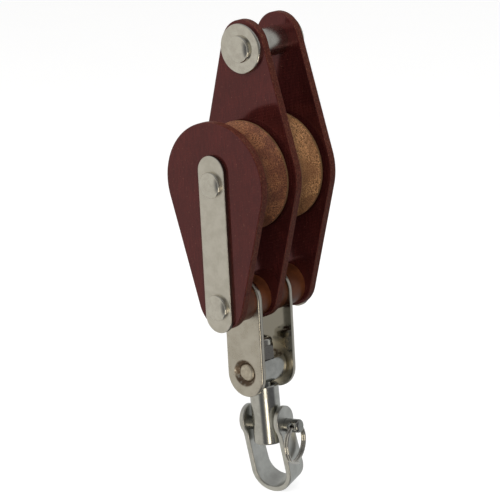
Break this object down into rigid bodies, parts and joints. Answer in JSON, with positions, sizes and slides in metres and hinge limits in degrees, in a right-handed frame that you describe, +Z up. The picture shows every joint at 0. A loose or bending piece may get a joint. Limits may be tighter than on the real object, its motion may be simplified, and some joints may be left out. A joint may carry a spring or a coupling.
{
  "type": "double rope block",
  "caption": "Two-sheave laminate rope block with outer straps, a becket at the top and a toggling swivel shackle below.",
  "frame": {"origin": "middle of the sheave axis, half-way through the centre cheek", "axes": "+Z up to the becket, +Y along the sheave pin from the front cheek to the back cheek, +X across the cheeks; the shackle hangs to -Z"},
  "size_m": [0.0514, 0.0572, 0.2041],
  "materials": {
    "cheek_laminate": "satin fabric-reinforced phenolic laminate, dark maroon",
    "sheave_laminate": "turned fabric-reinforced phenolic laminate, golden brown",
    "bush_laminate": "smooth turned phenolic, orange-brown",
    "brushed_steel": "satin brushed stainless steel",
    "polished_steel": "polished stainless steel",
    "nylon": "natural nylon"
  },
  "bodies": {
    "block": {"front_cheek": "cheek_laminate", "centre_cheek": "cheek_laminate", "back_cheek": "cheek_laminate", "front_strap": "brushed_steel", "back_strap": "brushed_steel", "sheave_pin": "brushed_steel", "head_pin": "brushed_steel", "becket_pin": "brushed_steel", "becket_washer_front": "brushed_steel", "becket_washer_back": "brushed_steel", "becket_spacer": "polished_steel", "front_outer_bush": "bush_laminate", "front_inner_bush": "bush_laminate", "back_inner_bush": "bush_laminate", "back_outer_bush": "bush_laminate", "front_head_plate": "brushed_steel", "back_head_plate": "brushed_steel"},
    "front_sheave": {"front_sheave": "sheave_laminate"},
    "back_sheave": {"back_sheave": "sheave_laminate"},
    "trunnion": {"trunnion": "polished_steel"},
    "swivel": {"swivel_barrel": "polished_steel", "swivel_nut": "polished_steel", "nut_insert": "nylon"},
    "bow": {"shackle_bow": "brushed_steel"},
    "clevis_pin": {"clevis_pin": "polished_steel"},
    "split_ring": {"split_ring": "polished_steel"}
  },
  "joints": [
    {"name": "front_sheave_spin", "type": "hinge", "parent": "block", "child": "front_sheave", "pos_m": [0, -0.01115, 0], "axis": [0, 1, 0], "continuous": true},
    {"name": "back_sheave_spin", "type": "hinge", "parent": "block", "child": "back_sheave", "pos_m": [0, 0.01115, 0], "axis": [0, 1, 0], "continuous": true},
    {"name": "trunnion_toggle", "type": "hinge", "parent": "block", "child": "trunnion", "pos_m": [0, 0, -0.0841], "axis": [0, 1, 0], "range_deg": [-86, 94]},
    {"name": "swivel_spin", "type": "hinge", "parent": "trunnion", "child": "swivel", "pos_m": [0.00039, 0, -0.09149], "axis": [-0.0523, 0, 0.9986], "continuous": true},
    {"name": "bow_swing", "type": "hinge", "parent": "swivel", "child": "bow", "pos_m": [0.0013, 0, -0.10897], "axis": [0.9889, 0.1392, 0.0518], "range_deg": [-103, 76]},
    {"name": "clevis_pin_turn", "type": "hinge", "parent": "swivel", "child": "clevis_pin", "pos_m": [0.0013, 0, -0.10897], "axis": [0.9889, 0.1392, 0.0518], "continuous": true},
    {"name": "ring_swing", "type": "hinge", "parent": "clevis_pin", "child": "split_ring", "pos_m": [0.01456, 0.00186, -0.10827], "axis": [-0.139, 0.9903, -0.0073], "range_deg": [-186, 1]}
  ]
}
